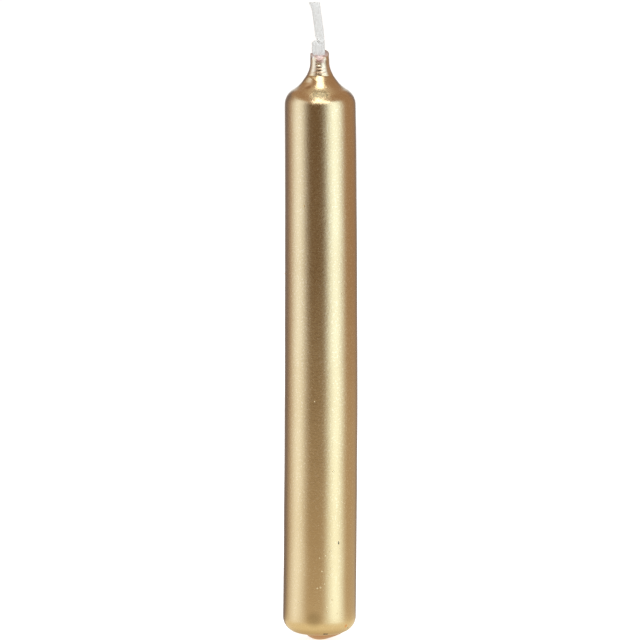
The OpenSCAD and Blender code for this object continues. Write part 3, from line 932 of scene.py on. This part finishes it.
def set_up(name, finish, *outline):
    """Sets up a round sheet on the stage from an outline of distances and heights."""
    sheet = bmesh.new()
    end = sheet.verts.new(round_from_camera(0, *outline[0]))
    for corner in outline[1:]:
        (end,) = bmesh.ops.extrude_vert_indiv(sheet, verts=[end])["verts"]
        end.co = round_from_camera(0, *corner)
    bmesh.ops.spin(
        sheet, geom=sheet.verts[:] + sheet.edges[:], cent=(0, 0, 0), axis=(0, 0, 1),
        angle=math.tau, steps=SHEET_STEPS, use_merge=True)
    bmesh.ops.remove_doubles(sheet, verts=sheet.verts, dist=SHEET_WELD)
    mesh = bpy.data.meshes.new(name)
    sheet.to_mesh(mesh)
    sheet.free()
    mesh.materials.append(finish)
    laid = bpy.data.objects.new(name, mesh)
    bpy.context.scene.collection.objects.link(laid)
    laid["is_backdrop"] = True
    return laid


floor_finish, tree, _ = new_finish("white_floor")
lift = add(tree, "Math", {0: seen_directly(tree), 1: FLOOR_LIFT}, operation="MULTIPLY")
glow = add(tree, "Emission", {"Color": linear("#FFFFFF"), "Strength": lift})
matt = add(tree, "BsdfDiffuse", {"Color": linear("#E6E6E6")})
add(tree, "OutputMaterial", {"Surface": add(tree, "AddShader", {0: glow, 1: matt})})
floor = set_up("floor", floor_finish, (0, 0), (FLOOR_R, 0))
print("floor in metres across:", round(floor.dimensions.x, 2))

# %% Get ready to paint the card that reflections see
# Its height over the floor, its radius, and the heights of its wall and of the peak of its roof, in metres
CARD_RISE, CARD_R, CARD_TALL, CARD_TOP = 0.0001, 0.9, 1.1, 1.6
EDGE_SOFT = 0.02

card_finish, tree, place = new_finish("painted_card")
level = add(tree, "VectorMath", {0: place, 1: (1, 1, 0)}, operation="MULTIPLY")
away = add(tree, "VectorMath", {0: level}, operation="LENGTH")
ahead = add(tree, "VectorMath", {0: level}, operation="NORMALIZE")
height = add(tree, "SeparateXYZ", {"Vector": place}).node.outputs["Z"]


def paint(under, code, bright, measure, full, faded, top=CARD_TOP):
    """Paints a colour over another, up to a height, fading as a measure grows from full to faded."""
    fade = add(tree, "MapRange", {"Value": measure, "From Min": faded, "From Max": full},
               interpolation_type="SMOOTHSTEP")
    low = add(tree, "MapRange", {"Value": height, "From Min": top + EDGE_SOFT, "From Max": top - EDGE_SOFT})
    share = add(tree, "Math", {0: fade, 1: low}, operation="MULTIPLY")
    lit = [part * bright for part in linear(code)]
    return add(tree, "Mix", {"Factor": share, UNDER: under, OVER: lit}, data_type="RGBA")


def paint_round(under, panels):
    """Paints panels of the room, each at its place round from the camera."""
    for degrees, full, faded, top, code, bright in panels.values():
        middle = round_from_camera(degrees, 1)
        cosine = add(tree, "VectorMath", {0: ahead, 1: middle}, operation="DOT_PRODUCT")
        turned = add(tree, "Math", {0: cosine}, operation="ARCCOSINE")
        under = paint(under, code, bright, turned, math.radians(full), math.radians(faded), top)
    return under


print("card in metres across:", 2 * CARD_R)

# %% Paint the card
# Each: degrees round from the camera to its middle, degrees from there to where it starts to fade and to
# where it is gone, its upper edge in metres, its colour and its brightness.
WALLS = {
    "left_high": (-95, 5, 50, 0.8, "#CDBBAA", 1.0),
    "left_low": (-95, 5, 52, 0.56, "#BCA28E", 1.0),
    "front": (-16, 25, 60, 0.435, "#6C5339", 1.0),
}
SIDES = {
    "left_box": (-76, 0, 45, 0.61, "#E8F2FF", 1.58),
    "right_box": (47, 2, 43, 0.59, "#DCF0FF", 2.12),
}
BACKS = {
    "back_wall": (-170, 30, 64, 0.5, "#857878", 1.0),
    "back_strip": (180, 3, 28, 0.6, "#E8EEF4", 1.3),
}
WALL_COLOUR, ZENITH_COLOUR, NEAR_COLOUR = "#B4967E", "#E6DCCB", "#D4C7B4"
FOOT_COLOUR, UNDER_SHADOW_COLOUR = "#FCF4DC", "#D8C8A8"
# The middle and radius of the light roof, then the floor's radii near the candle, at its foot, where a pool
# of light is painted, and under it, where the candle's shadow is painted
ZENITH, ZENITH_R = (0, 0.35, 1.4), 0.75
NEAR_R, FOOT_IN, FOOT_OUT, UNDER_SHADOW_IN, UNDER_SHADOW_OUT = 0.55, 0.007, 0.034, 0.004, 0.0085

from_zenith = add(tree, "VectorMath", {0: place, 1: ZENITH}, operation="DISTANCE")
colour = paint(linear(WALL_COLOUR), ZENITH_COLOUR, 1, from_zenith, 0, ZENITH_R)
colour = paint_round(colour, WALLS)
colour = paint(colour, NEAR_COLOUR, 1, away, 0, NEAR_R)
colour = paint_round(colour, SIDES)
# A pale pool of light is painted at the candle's foot, and the candle's shadow right under it.
colour = paint(colour, FOOT_COLOUR, 1, away, FOOT_IN, FOOT_OUT)
colour = paint(colour, UNDER_SHADOW_COLOUR, 1, away, UNDER_SHADOW_IN, UNDER_SHADOW_OUT)
colour = paint_round(colour, BACKS)
add(tree, "OutputMaterial", {"Surface": add(tree, "Emission", {"Color": colour})})
card = set_up("card", card_finish, (0, CARD_RISE), (CARD_R, CARD_RISE), (CARD_R, CARD_TALL), (0, CARD_TOP))
card.visible_camera = card.visible_diffuse = card.visible_transmission = card.visible_shadow = False
print("painted on the card:", [*WALLS, *SIDES, *BACKS])

# %% Hang the lamps
# Each: its shape, degrees round from the camera, distance and height of its middle, width and height, its
# brightness, and whether reflections see it. Those at the sides and behind are already painted on the card.
LAMPS = {
    "left_box": ("RECTANGLE", -81, 0.42, 0.185, 0.22, 0.37, 1.3, False),
    "right_box": ("RECTANGLE", 48, 0.42, 0.20, 0.22, 0.40, 1.4, False),
    "front_box": ("RECTANGLE", 2, 0.60, 0.48, 0.72, 0.22, 2.2, True),
    "top_oval": ("ELLIPSE", -5, 0.2, 0.635, 0.32, 0.72, 2.8, True),
    "back_fill": ("RECTANGLE", 180, 0.5, 0.35, 0.4, 0.4, 1.2, False),
}
FILLS = {"RECTANGLE": 1.0, "ELLIPSE": math.pi / 4}
LAMP_COLOUR = "#F2FAFF"
LIT_Z = 0.1

for name, (shape, degrees, distance, height, wide, tall, bright, mirrored) in LAMPS.items():
    lamp = bpy.data.lights.new(name, "AREA")
    lamp.shape = shape
    lamp.size, lamp.size_y = wide, tall
    lamp.energy = bright * math.pi * wide * tall * FILLS[shape]
    lamp.color = linear(LAMP_COLOUR)[:3]
    hung = bpy.data.objects.new(name, lamp)
    bpy.context.scene.collection.objects.link(hung)
    hung.location = round_from_camera(degrees, distance, height)
    hung.rotation_euler = (Vector((0, 0, LIT_Z)) - hung.location).to_track_quat("-Z", "Y").to_euler()
    hung.visible_camera = False
    hung.visible_glossy = mirrored
print("lamps:", list(LAMPS))

# %% Fill the air with light
AIR_COLOUR, BACKDROP_COLOUR = "#A89C92", "#FFFFFF"

world = bpy.data.worlds.new("studio")
world.use_nodes = True
tree = world.node_tree
seen = seen_directly(tree)
air = add(tree, "Mix", {"Factor": seen, UNDER: linear(AIR_COLOUR), OVER: linear(BACKDROP_COLOUR)},
          data_type="RGBA")
tree.links.new(air, tree.nodes["Background"].inputs["Color"])
bpy.context.scene.world = world
print("air:", AIR_COLOUR, "and the backdrop:", BACKDROP_COLOUR)

# %% [markdown]
# ## The size
# The dressed candle has to stay as large as the imported solids, so its box is printed.

# %% Print the dressed box
low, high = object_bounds()
print("dressed box in mm:", [round(side / MM, 2) for side in high - low])
